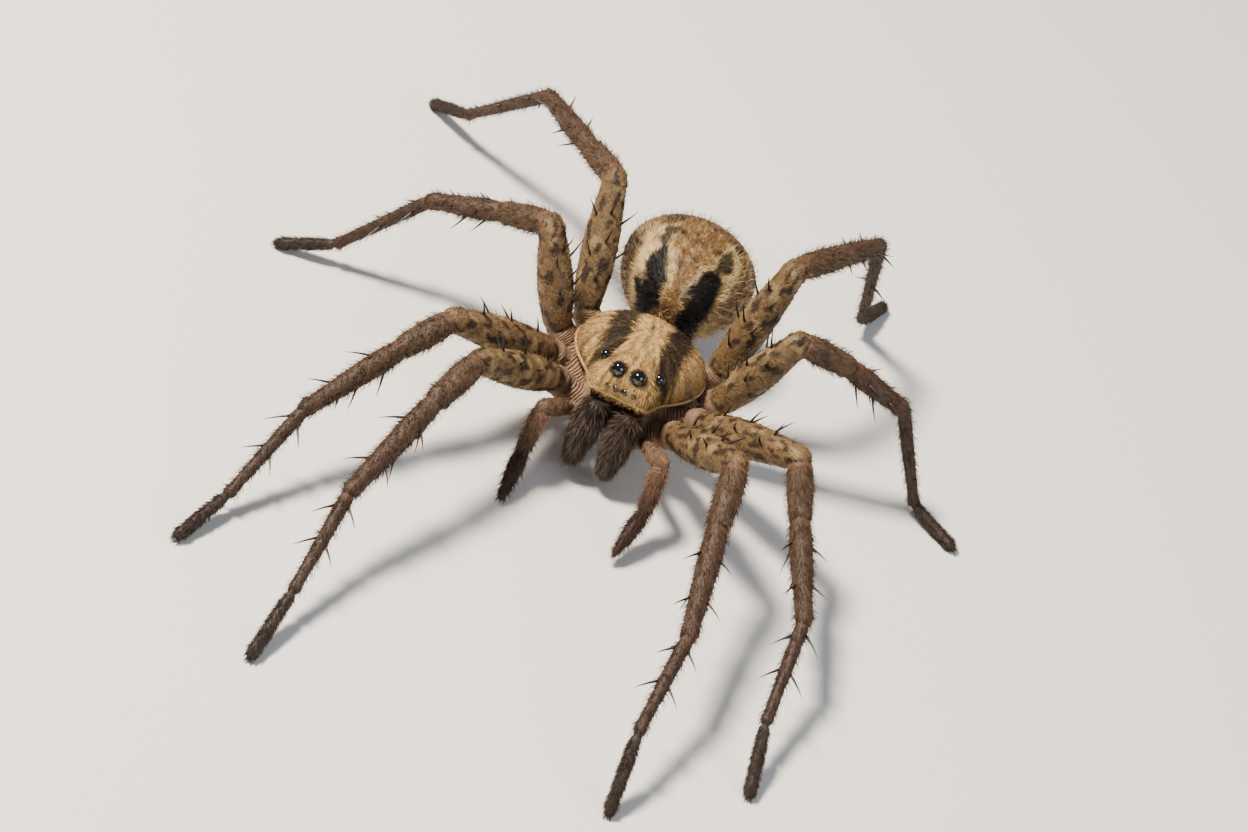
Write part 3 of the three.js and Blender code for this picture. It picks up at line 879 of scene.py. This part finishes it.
skin.data.materials.clear()
skin.data.materials.append(skin_material())
skin.data.shade_smooth()
skin.data.transform(TO_FRAME)
flesh = [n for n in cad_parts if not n.startswith(("eye_", "fang_"))]
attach(skin, "root")
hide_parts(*flesh)
print("one skin stands for", len(flesh), "solids")

# %% [markdown]
# Hair is made in bulk. Roots are drawn at random over the skin's faces by their area, so that the
# coat is even, and each root brings its normal, its part and its colour. Joints keep a bare line,
# as real ones do. A particle system would also grow hair, but only as strands, and a printed or
# exported model needs solid tufts.

# %% Roots on the skin
rng = np.random.default_rng(20)
skin.data.calc_loop_triangles()
corner = np.empty(len(skin.data.loop_triangles) * 3, np.int32)
skin.data.loop_triangles.foreach_get("vertices", corner)
corner = corner.reshape(-1, 3)
tri = skin_points[corner]
cross = np.cross(tri[:, 1] - tri[:, 0], tri[:, 2] - tri[:, 0])
area = np.linalg.norm(cross, axis=1) / 2
tri_part = skin_part[corner[:, 0]]
BARE_GAP = 0.04
bare_joint = (jointed == 1) & (skin_gap < BARE_GAP)
tri_bare = bare_joint[corner[:, 0]]


def draw_roots(kinds, density, limb=None):
    """Random roots on parts of some kinds, with their normals. Density is for a square millimetre."""
    wanted = [i for i, p in enumerate(parts) if p.kind in kinds and (limb is None or p.limb == limb)]
    faces = np.flatnonzero(np.isin(tri_part, wanted) & ~tri_bare)
    weight = area[faces]
    count = int(weight.sum() * density)
    chosen = faces[rng.choice(len(faces), count, p=weight / weight.sum())]
    a, b = rng.random((2, count, 1))
    flip = a + b > 1
    a, b = np.where(flip, 1 - a, a), np.where(flip, 1 - b, b)
    t = tri[chosen]
    normal = cross[chosen] / (2 * area[chosen][:, None])
    return t[:, 0] + a * (t[:, 1] - t[:, 0]) + b * (t[:, 2] - t[:, 0]), normal


print("the skin's area is", round(float(area.sum())), "square millimetres")

# %% [markdown]
# A tuft is a thin bent thorn of three sides. It has seven points, and numpy sets them out for
# thousands of roots at once, which is far quicker than copying one thorn about. It starts at its
# own angle to the skin and flattens towards it from the middle on, as real hair does.

# %% Shape of the tufts
HAIR_BEND = 0.5
ROOT_DEPTH = 0.03
THORN = np.array([
    [0.0, 1.0, 0.0], [0.866, -0.5, 0.0], [-0.866, -0.5, 0.0],
    [0.0, 0.62, 0.5], [0.55, -0.32, 0.5], [-0.55, -0.32, 0.5],
    [0.0, 0.0, 1.0],
])
THORN_QUADS = np.array([[0, 1, 4, 3], [1, 2, 5, 4], [2, 0, 3, 5]])
THORN_TRIS = np.array([[3, 4, 6], [4, 5, 6], [5, 3, 6], [2, 1, 0]])


def lay_hair(root, normal, which, drift):
    """A direction along the skin for each hair: its part's own lie, and some drift."""
    lie = np.zeros(root.shape)
    for i, part in enumerate(parts):
        here = which == i
        if here.any():
            lie[here] = part.lie(root[here])
    lie += drift * rng.normal(size=root.shape)
    lie -= (lie * normal).sum(1)[:, None] * normal
    return lie / (np.linalg.norm(lie, axis=1)[:, None] + 1e-9)


def shape_tufts(root, normal, lie, length, width, lift):
    """The points of all tufts. Lift is the angle between the hair and the skin, in degrees."""
    count = len(root)
    up = np.radians(lift * rng.uniform(0.6, 1.4, count))[:, None]
    first = lie * np.cos(up) + normal * np.sin(up)
    later = lie * np.cos(up * (1 - HAIR_BEND)) + normal * np.sin(up * (1 - HAIR_BEND))
    side = np.cross(first, normal)
    side /= np.linalg.norm(side, axis=1)[:, None] + 1e-9
    face = np.cross(side, first)
    size = (length * rng.uniform(0.6, 1.3, count))[:, None]
    thick = (width * rng.uniform(0.7, 1.3, count))[:, None] / 2
    base = root - normal * ROOT_DEPTH
    points = np.empty((count, len(THORN), 3))
    for k, (a, b, c) in enumerate(THORN):
        run = base + first * size * min(c, 0.5) + later * size * max(c - 0.5, 0)
        points[:, k] = run + (side * a + face * b) * thick
    points[..., 2] = np.maximum(points[..., 2], FLOOR_GAP)
    return points


print("a tuft has", len(THORN), "points")

# %% [markdown]
# Each tuft also needs a place on a flat map. The map is a grid with one cell for each part. In its
# cell a tuft is a patch a few thousandths across, at its root's share along and angle round.

# %% Meshes of tufts, with their map
MAP_COLUMNS = 9
MAP_MARGIN = 0.06
MAP_PATCH = 0.003


def map_places(which, share, angle):
    """Where each root lies on the flat map."""
    cell, room = 1 / MAP_COLUMNS, 1 - 2 * MAP_MARGIN
    column, row = which % MAP_COLUMNS, which // MAP_COLUMNS
    u = (column + MAP_MARGIN + room * share) * cell
    v = (row + MAP_MARGIN + room * (angle / (2 * np.pi) + 0.5)) * cell
    return np.c_[u, v]


def tuft_mesh(name, points):
    """One mesh of all the tufts, and the point that each corner of its faces uses."""
    offsets = np.arange(len(points))[:, None, None] * len(THORN)
    quads = (offsets + THORN_QUADS).reshape(-1, 4)
    tris = (offsets + THORN_TRIS).reshape(-1, 3)
    corners = np.concatenate([quads.ravel(), tris.ravel()])
    starts = np.concatenate([np.arange(len(quads)) * 4, len(quads) * 4 + np.arange(len(tris)) * 3])
    mesh = bpy.data.meshes.new(name)
    mesh.vertices.add(len(points) * len(THORN))
    mesh.vertices.foreach_set("co", points.astype(np.float32).ravel())
    mesh.loops.add(len(corners))
    mesh.loops.foreach_set("vertex_index", corners.astype(np.int32))
    mesh.polygons.add(len(starts))
    mesh.polygons.foreach_set("loop_start", starts.astype(np.int32))
    mesh.update(calc_edges=True)
    return mesh, corners


def map_tufts(mesh, corners, places):
    """Gives every tuft its own small patch of the flat map."""
    corner_uv = places[corners // len(THORN)]
    corner_uv = corner_uv + (THORN[corners % len(THORN)][:, [0, 2]] - 0.5) * MAP_PATCH / 2
    mesh.uv_layers.new(name="OFBake").data.foreach_set("uv", corner_uv.astype(np.float32).ravel())


print("the map has room for", MAP_COLUMNS**2, "parts")

# %% [markdown]
# Hair takes its colour from the same paint as the skin below it. It is dull, with a faint grain, and
# each tuft is a little lighter or darker than its neighbours, which is what makes fur look deep.


# %% Fur material, and growing one piece of coat
def fur_material():
    """Dull hair in its own painted colour."""
    material, tree, shader, place = new_material("fur")
    coat = place.node("ShaderNodeAttribute", {"attribute_name": "coat"}, out="Color")
    grain = place.node("ShaderNodeTexNoise", None, {"Vector": place, "Scale": 2600, "Detail": 2}, out="Fac")
    shade = grain * 0.6 + 0.75
    colour = place.node("ShaderNodeVectorMath", {"operation": "SCALE"}, {0: coat, "Scale": shade})
    feed(tree, shader, Base_Color=colour, Roughness=0.6, Specular_IOR_Level=0.18)
    return material


def place_piece(name, mesh):
    """Takes a mesh from the body's own frame to its true place, and gives it a body."""
    mesh.transform(TO_FRAME)
    piece = bpy.data.objects.new(name, mesh)
    bpy.context.scene.collection.objects.link(piece)
    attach(piece, "root")
    return piece


def grow(name, root, normal, slot, length, width, lift, drift=0.25, shade=(0.75, 1.3), hue=None):
    """Makes one piece of coat. Shade is the range of lightness, and a hue replaces the paint."""
    count = len(root)
    which, share, angle, _ = sort_points(root)
    lie = lay_hair(root, normal, which, drift)
    mesh, corners = tuft_mesh(name, shape_tufts(root, normal, lie, length, width, lift))
    colour = coat_colour(root, which, share, angle) if hue is None else np.tile(hue, (count, 1))
    colour = np.clip(colour * rng.uniform(*shade, count)[:, None], 0, 1)
    store_colour(mesh, np.repeat(colour, len(THORN), axis=0))
    map_tufts(mesh, corners, map_places(which, share, angle))
    mesh.materials.append(fur_finish)
    place_piece(name, mesh)
    tuft_counts.append(count)


fur_finish = fur_material()
tuft_counts = []
print("the fur's material is", fur_finish.name)

# %% [markdown]
# Body hair is short and lies flat. On the legs a dense underfur is crossed by longer hairs that
# stand off. The feet carry dense brushes, and the jaws long bristles. Each kind of hair is one line
# of a table: the parts it grows on, its tufts on a square millimetre, its slot and its look.

# %% Kinds of hair on the limbs
LEG_KINDS = ("femur", "patella", "tibia", "metatarsus")
SHIN_KINDS = ("patella", "tibia", "metatarsus")
PALP_KINDS = tuple(kind for kind in PALP_THICKNESS if kind != "palp_coxa")
PALP_ENDS = ("palp_patella", "palp_tibia", "palp_tarsus")
HIP_HAIR = {"length": 0.3, "width": 0.03, "lift": 30, "hue": paint("8a6e4c")}
LEG_FUR = {"length": 0.3, "width": 0.038, "lift": 16, "shade": (0.7, 1.4)}
LEG_LONG_FUR = {"length": 0.52, "width": 0.03, "lift": 48, "shade": (0.6, 1.7)}
THIGH_FUR = {"length": 0.55, "width": 0.022, "lift": 50, "shade": (0.8, 1.6)}
FOOT_BRUSH = {"length": 0.34, "width": 0.032, "lift": 38, "shade": (0.6, 1.8)}
PALP_FUR = {"length": 0.34, "width": 0.034, "lift": 26, "shade": (0.7, 1.5)}
PALP_LONG_FUR = {"length": 0.6, "width": 0.028, "lift": 48, "shade": (0.6, 1.8)}
JAW_FUR = {"length": 0.5, "width": 0.036, "lift": 18, "shade": (0.5, 1.7)}
JAW_BRISTLES = {"length": 0.8, "width": 0.026, "lift": 26, "shade": (0.4, 1.3), "hue": paint("6c5d52")}
LIMB_COATS = {
    "leg": [
        ("hip_fur_", ("coxa", "trochanter"), 14, "legs", HIP_HAIR),
        ("fur_", LEG_KINDS, 73, "legs", LEG_FUR),
        ("long_fur_", SHIN_KINDS, 41, "legs", LEG_LONG_FUR),
        ("thigh_fur_", ("femur",), 8, "legs", THIGH_FUR),
        ("brush_", ("tarsus",), 170, "feet", FOOT_BRUSH),
    ],
    "palp": [
        ("fur_", PALP_KINDS, 110, "legs", PALP_FUR),
        ("long_fur_", PALP_ENDS, 60, "legs", PALP_LONG_FUR),
    ],
    "jaw": [
        ("fur_", ("jaw",), 150, "jaws", JAW_FUR),
        ("bristles_", ("jaw",), 42, "jaws", JAW_BRISTLES),
    ],
}
print(sum(len(coats) for coats in LIMB_COATS.values()), "kinds of hair on the limbs")

# %% [markdown]
# Now the coat itself. On the head the hair keeps clear of the eyes, and the face has a longer fringe
# that stands up. On the carapace it stops at the rim, because what is below is hidden by the hips.


# %% Grow the coat
def eye_clearance(points):
    """How far each point is from the nearest eye."""
    nearest = np.full(len(points), 1e9)
    for side in SIDES.values():
        for x, y, above, radius in EYES.values():
            away = np.linalg.norm(points - [side * x, y, RIM_HEIGHT + above], axis=1) - radius
            nearest = np.minimum(nearest, away)
    return nearest


FACE_END = -2.2
root, normal = draw_roots(("carapace",), 162)
clear = (eye_clearance(root) > 0.1) & (root[:, 2] > RIM_HEIGHT - 0.25)
look = {"length": 0.32, "width": 0.036, "lift": 13, "drift": 0.2, "shade": (0.7, 1.45)}
grow("fur_carapace", root[clear], normal[clear], "carapace", **look)
root, normal = draw_roots(("carapace",), 60)
clear = (eye_clearance(root) > 0.06) & (root[:, 1] < FACE_END)
look = {"length": 0.5, "width": 0.03, "lift": 38, "shade": (0.9, 1.5)}
grow("long_fur_face", root[clear], normal[clear], "carapace", **look)
look = {"length": 0.36, "width": 0.038, "lift": 19, "shade": (0.76, 1.34)}
grow("fur_abdomen", *draw_roots(("abdomen",), 92), "abdomen", **look)
look = {"length": 0.75, "width": 0.03, "lift": 50, "shade": (0.8, 1.7)}
grow("long_fur_abdomen", *draw_roots(("abdomen",), 9), "abdomen", **look)
for name in SIDES:
    for limb in [f"leg_{name}_{number}" for number in LENGTHS] + ["palp_" + name, "jaw_" + name]:
        for title, kinds, density, slot, look in LIMB_COATS[limb.split("_")[0]]:
            grow(title + limb, *draw_roots(kinds, density, limb), slot, **look)
look = {"length": 0.3, "width": 0.045, "lift": 30}
grow("fur_underside", *draw_roots(("spinneret", "underside", "waist"), 60), "underside", **look)
print(sum(tuft_counts), "tufts in", len(tuft_counts), "pieces, the fullest with", max(tuft_counts))

# %% [markdown]
# A wolf spider's eyes are its face: two large ones look forward, two more look up and out behind
# them, and four small ones sit in a row below. Each is a smooth ball, black and wet.


# %% Eyes
def glossy(name, colour, roughness):
    """A wet, clear-coated finish."""
    material, tree, shader, place = new_material(name)
    haze = place.node("ShaderNodeTexNoise", None, {"Vector": place, "Scale": 3000}, out="Fac")
    feed(tree, shader, Base_Color=(*colour, 1), Roughness=haze * 0.06 + roughness, Coat_Weight=0.6)
    shader.inputs["Coat Roughness"].default_value = 0.03
    return material


def finished(name, bm, material, replaced=()):
    """Turns a bmesh in the body's own frame into a smooth piece in its true place."""
    mesh = bpy.data.meshes.new(name)
    bm.to_mesh(mesh)
    bm.free()
    mesh.materials.append(material)
    mesh.shade_smooth()
    piece = place_piece(name, mesh)
    if replaced:
        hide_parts(*replaced)


eye_gloss = glossy("eye_gloss", BLACK * 0.25, 0.04)
for name, side in SIDES.items():
    for row, (x, y, above, radius) in EYES.items():
        ball = bmesh.new()
        spot = Matrix.Translation((side * x, y, RIM_HEIGHT + above))
        bmesh.ops.create_uvsphere(ball, u_segments=32, v_segments=20, radius=radius, matrix=spot)
        finished(f"eye_ball_{row}_{name}", ball, eye_gloss, [f"eye_{row}_{name}"])
print("eight eyes set")

# %% [markdown]
# Spines, claws and fangs are horn: dark, glossy thorns that taper and bend. A cone could be bent
# by a modifier, but the loft that made the skin's tubes does the same with a few lines. Its rings
# follow a curve that droops more and more towards the tip, and never touch the floor.


# %% Horn and thorns
def horn_material(name, colour):
    """Streaked, half glossy horn."""
    material, tree, shader, place = new_material(name)
    streaks = place.node("ShaderNodeTexNoise", None, {"Vector": place, "Scale": 4000, "Detail": 2}, out="Fac")
    scale = streaks * 0.9 + 0.55
    shade = place.node("ShaderNodeVectorMath", {"operation": "SCALE"}, {0: tuple(colour), "Scale": scale})
    bump = place.node("ShaderNodeBump", None, {"Height": streaks, "Strength": 0.3, "Distance": 0.00002})
    feed(tree, shader, Base_Color=shade, Roughness=streaks * 0.15 + 0.3, Normal=bump)
    return material


def unit(v):
    """A vector made one long."""
    return v / np.linalg.norm(v)


def thorn(bm, root, way, droop, length, radius, rings=7, sides=7):
    """A round thorn that tapers to its tip and bends towards droop."""
    sections = []
    for t in np.linspace(0, 1, rings):
        centre = root + way * length * t + droop * length * t * t
        axis = unit(way + 2 * t * droop)
        side = unit(np.cross(axis, [0.31, 0.17, 0.93]))
        r = radius * max((1 - t) ** 0.8, 0.04)
        centre[2] = max(centre[2], r + FLOOR_GAP)
        sections.append(placed(centre, side, np.cross(side, axis), axis, r, r))
    loft(bm, sections, sides)


horn = horn_material("spine_horn", paint("1c120b"))
claw_horn = horn_material("claw_horn", paint("120b07"))
fang_horn = horn_material("fang_horn", paint("2a100a"))
print("three kinds of dark horn")

# %% [markdown]
# The spines stand where the solids have theirs, only finer, because the same row of repeatable
# numbers scatters them. A foot ends in two small hooked claws, and a jaw in a fang that folds in
# under it and crosses its neighbour's.

# %% Spines, claws and fangs
CLAW = {"length": 0.34, "radius": 0.06, "ahead": 0.22, "aside": 0.09}
CLAW_SPREAD, CLAW_LIFT, CLAW_HOOK = 0.35, 0.25, 0.55
FANG = {"length": 1.25, "radius": 0.2}
FANG_ROOT, FANG_WAY, FANG_BEND = (0.35, 0.25, -0.62), (-0.72, 0.25, -0.32), (-0.1, 0.35, 0.22)


def scatter_numbers(seed=1912):
    """The solids' own repeatable numbers from -1 to 1."""
    while True:
        seed = seed * 16807 % 2147483647
        yield 2 * seed / 2147483647 - 1


def leg_spines(leg):
    """All the spines of one leg."""
    spines, lean = bmesh.new(), math.radians(SPINE["lean"])
    for kind, rows in SPINE_ROWS.items():
        length = leg[kind]
        for degrees, even_share in [(row[0], share) for row in rows for share in row[1]]:
            share = even_share + SPINE_SCATTER["share"] * next(scatter)
            around = math.radians(degrees + SPINE_SCATTER["degrees"] * next(scatter))
            tall = SPINE["length"] * (1 + SPINE_SCATTER["length"] * next(scatter))
            outward = length.side * math.sin(around) + length.top * math.cos(around)
            way = length.axis * math.cos(lean) + outward * math.sin(lean)
            radius = float(along(length.radii, share)) - SPINE["sunk"]
            root = length.start + length.axis * share * length.size + outward * radius
            droop = SPINE["sweep"] * length.axis - SPINE["settle"] * outward
            thorn(spines, root, way, droop, tall, SPINE["radius"])
    return spines


def foot_claws(foot):
    """The two claws of one foot."""
    claws = bmesh.new()
    for apart in (-1, 1):
        root = foot.end + foot.axis * CLAW["ahead"] + foot.side * CLAW["aside"] * apart + [0, 0, FLOOR_GAP]
        way = unit(foot.axis + CLAW_SPREAD * apart * foot.side + [0, 0, CLAW_LIFT])
        thorn(claws, root, way, np.array([0, 0, -CLAW_HOOK]), CLAW["length"], CLAW["radius"])
    return claws


def jaw_fang(jaw, side):
    """The fang of one jaw."""
    fang = bmesh.new()
    out, way, bend = (np.array(v) * [side, 1, 1] for v in (FANG_ROOT, FANG_WAY, FANG_BEND))
    thorn(fang, jaw.end + out, way, bend, FANG["length"], FANG["radius"], rings=10, sides=12)
    return fang


scatter = scatter_numbers()
by_limb = {}
for part in parts:
    by_limb.setdefault(part.limb, {})[part.kind] = part
for name, side in SIDES.items():
    for number in LENGTHS:
        leg = by_limb[f"leg_{name}_{number}"]
        finished(f"spines_leg_{name}_{number}", leg_spines(leg), horn)
        finished(f"claws_leg_{name}_{number}", foot_claws(leg["tarsus"]), claw_horn)
    fang = jaw_fang(by_limb["jaw_" + name]["jaw"], side)
    finished(f"fang_horn_{name}", fang, fang_horn, [f"fang_{name}"])
print("spines and claws on", len(SIDES) * len(LENGTHS), "legs, and", len(SIDES), "fangs")

# %% [markdown]
# The carapace has a thin raised edge of paler horn. It is one more loft, an oval that runs once
# round the widest line, from the rear along the right side to the front and back along the left.

# %% The rim of the carapace
RIM = {"front": 0.02, "rear": 0.985, "samples": 36, "outside": 0.02, "wide": 0.08, "high": 0.1}
rim, path = bmesh.new(), []
for side, first, last in ((-1, RIM["rear"], RIM["front"]), (1, RIM["front"], RIM["rear"])):
    for share in np.linspace(first, last, RIM["samples"]):
        y, wide, line, above, below = (float(v) for v in carapace.section(share))
        path.append(np.array([side * (wide + RIM["outside"]), y, line + RIM["outside"]]))
ahead = [unit(b - a) for a, b in zip(path[:-1], path[1:])]
ahead.append(ahead[-1])
rim_sections = []
for centre, axis in zip(path, ahead):
    across = unit(np.cross(axis, [0, 0, 1]))
    rim_sections.append(placed(centre, across, np.cross(across, axis), axis, RIM["wide"], RIM["high"]))
loft(rim, rim_sections, 10)
bmesh.ops.recalc_face_normals(rim, faces=rim.faces)
rim_finish = horn_material("rim_horn", paint("a8875a"))
finished("carapace_rim", rim, rim_finish)
print("the rim runs through", len(path), "places")

# %% [markdown]
# The floor is plain, pale and wide. Light is soft: a warm lamp high on one side, a weaker and
# wider one opposite, and a pale sky.

# %% Floor, lights and sky
floor_bm = bmesh.new()
bmesh.ops.create_grid(floor_bm, x_segments=1, y_segments=1, size=2)
floor_mesh = bpy.data.meshes.new("floor")
floor_bm.to_mesh(floor_mesh)
floor_bm.free()
floor = bpy.data.objects.new("floor", floor_mesh)
bpy.context.scene.collection.objects.link(floor)
floor_material, floor_tree, floor_shader, _ = new_material("floor")
feed(floor_tree, floor_shader, Base_Color=(0.74, 0.72, 0.69, 1), Roughness=0.8)
floor_mesh.materials.append(floor_material)
floor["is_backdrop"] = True


def lamp(name, place, target, size, power, colour):
    """A square soft lamp that faces a target."""
    data = bpy.data.lights.new(name, "AREA")
    data.size, data.energy, data.color = size, power, colour
    made = bpy.data.objects.new(name, data)
    made.location = place
    made.rotation_euler = (Vector(target) - Vector(place)).to_track_quat("-Z", "Y").to_euler()
    bpy.context.scene.collection.objects.link(made)


MIDDLE = (BODY_X, BODY_Y, 0.004)
KEY_PLACE = (BODY_X - 0.14, BODY_Y - 0.04, 0.26)
FILL_PLACE = (BODY_X + 0.25, BODY_Y - 0.16, 0.16)
lamp("key", KEY_PLACE, MIDDLE, size=0.05, power=2.8, colour=(1.0, 0.91, 0.78))
lamp("fill", FILL_PLACE, MIDDLE, size=0.2, power=0.55, colour=(0.88, 0.94, 1.0))
world = bpy.data.worlds.new("sky")
world.use_nodes = True
world.node_tree.nodes["Background"].inputs["Color"].default_value = (0.85, 0.9, 1.0, 1)
world.node_tree.nodes["Background"].inputs["Strength"].default_value = 0.3
bpy.context.scene.world = world
print("lit by two lamps and a sky")

# %% [markdown]
# The photograph looks down on the spider's face with a long lens. The camera's place comes from
# four plain values: how far round, how high, how far away, and how much it is rolled.

# %% Camera
LOOK_AT = (0.51, -0.47, 1.84)
AZIMUTH, ELEVATION, ROLL = 3.4, 38.0, 23.4
DISTANCE = 203.0
LENS = 100.0
a, e, r = (math.radians(v) for v in (AZIMUTH, ELEVATION, ROLL))
back = Vector((math.sin(a) * math.cos(e), -math.cos(a) * math.cos(e), math.sin(e)))
right = Vector((math.cos(a), math.sin(a), 0))
up = back.cross(right)
right, up = right * math.cos(r) + up * math.sin(r), up * math.cos(r) - right * math.sin(r)
camera_data = bpy.data.cameras.new("camera")
camera_data.lens = LENS
camera_data.clip_start = 0.01
camera = bpy.data.objects.new("camera", camera_data)
turn = Matrix([[right[i], up[i], back[i]] for i in range(3)]).to_4x4()
camera.matrix_world = Matrix.Translation(TO_FRAME @ (Vector(LOOK_AT) + back * DISTANCE)) @ turn
bpy.context.scene.collection.objects.link(camera)
bpy.context.scene.camera = camera
print("the camera stands", round(camera.matrix_world.translation.z / MM), "mm above the floor")

# %% [markdown]
# Last, the sizes of the solids and of the dressed spider are set side by side, and how much the spider has
# grown is printed.

# %% Sizes and the end
visual_low, visual_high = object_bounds()
sizes = {"cad": [list(cad_low), list(cad_high)], "visual": [list(visual_low), list(visual_high)]}
print("grown by", [round((v - c) / MM, 2) for v, c in zip(visual_high, cad_high)], "mm")
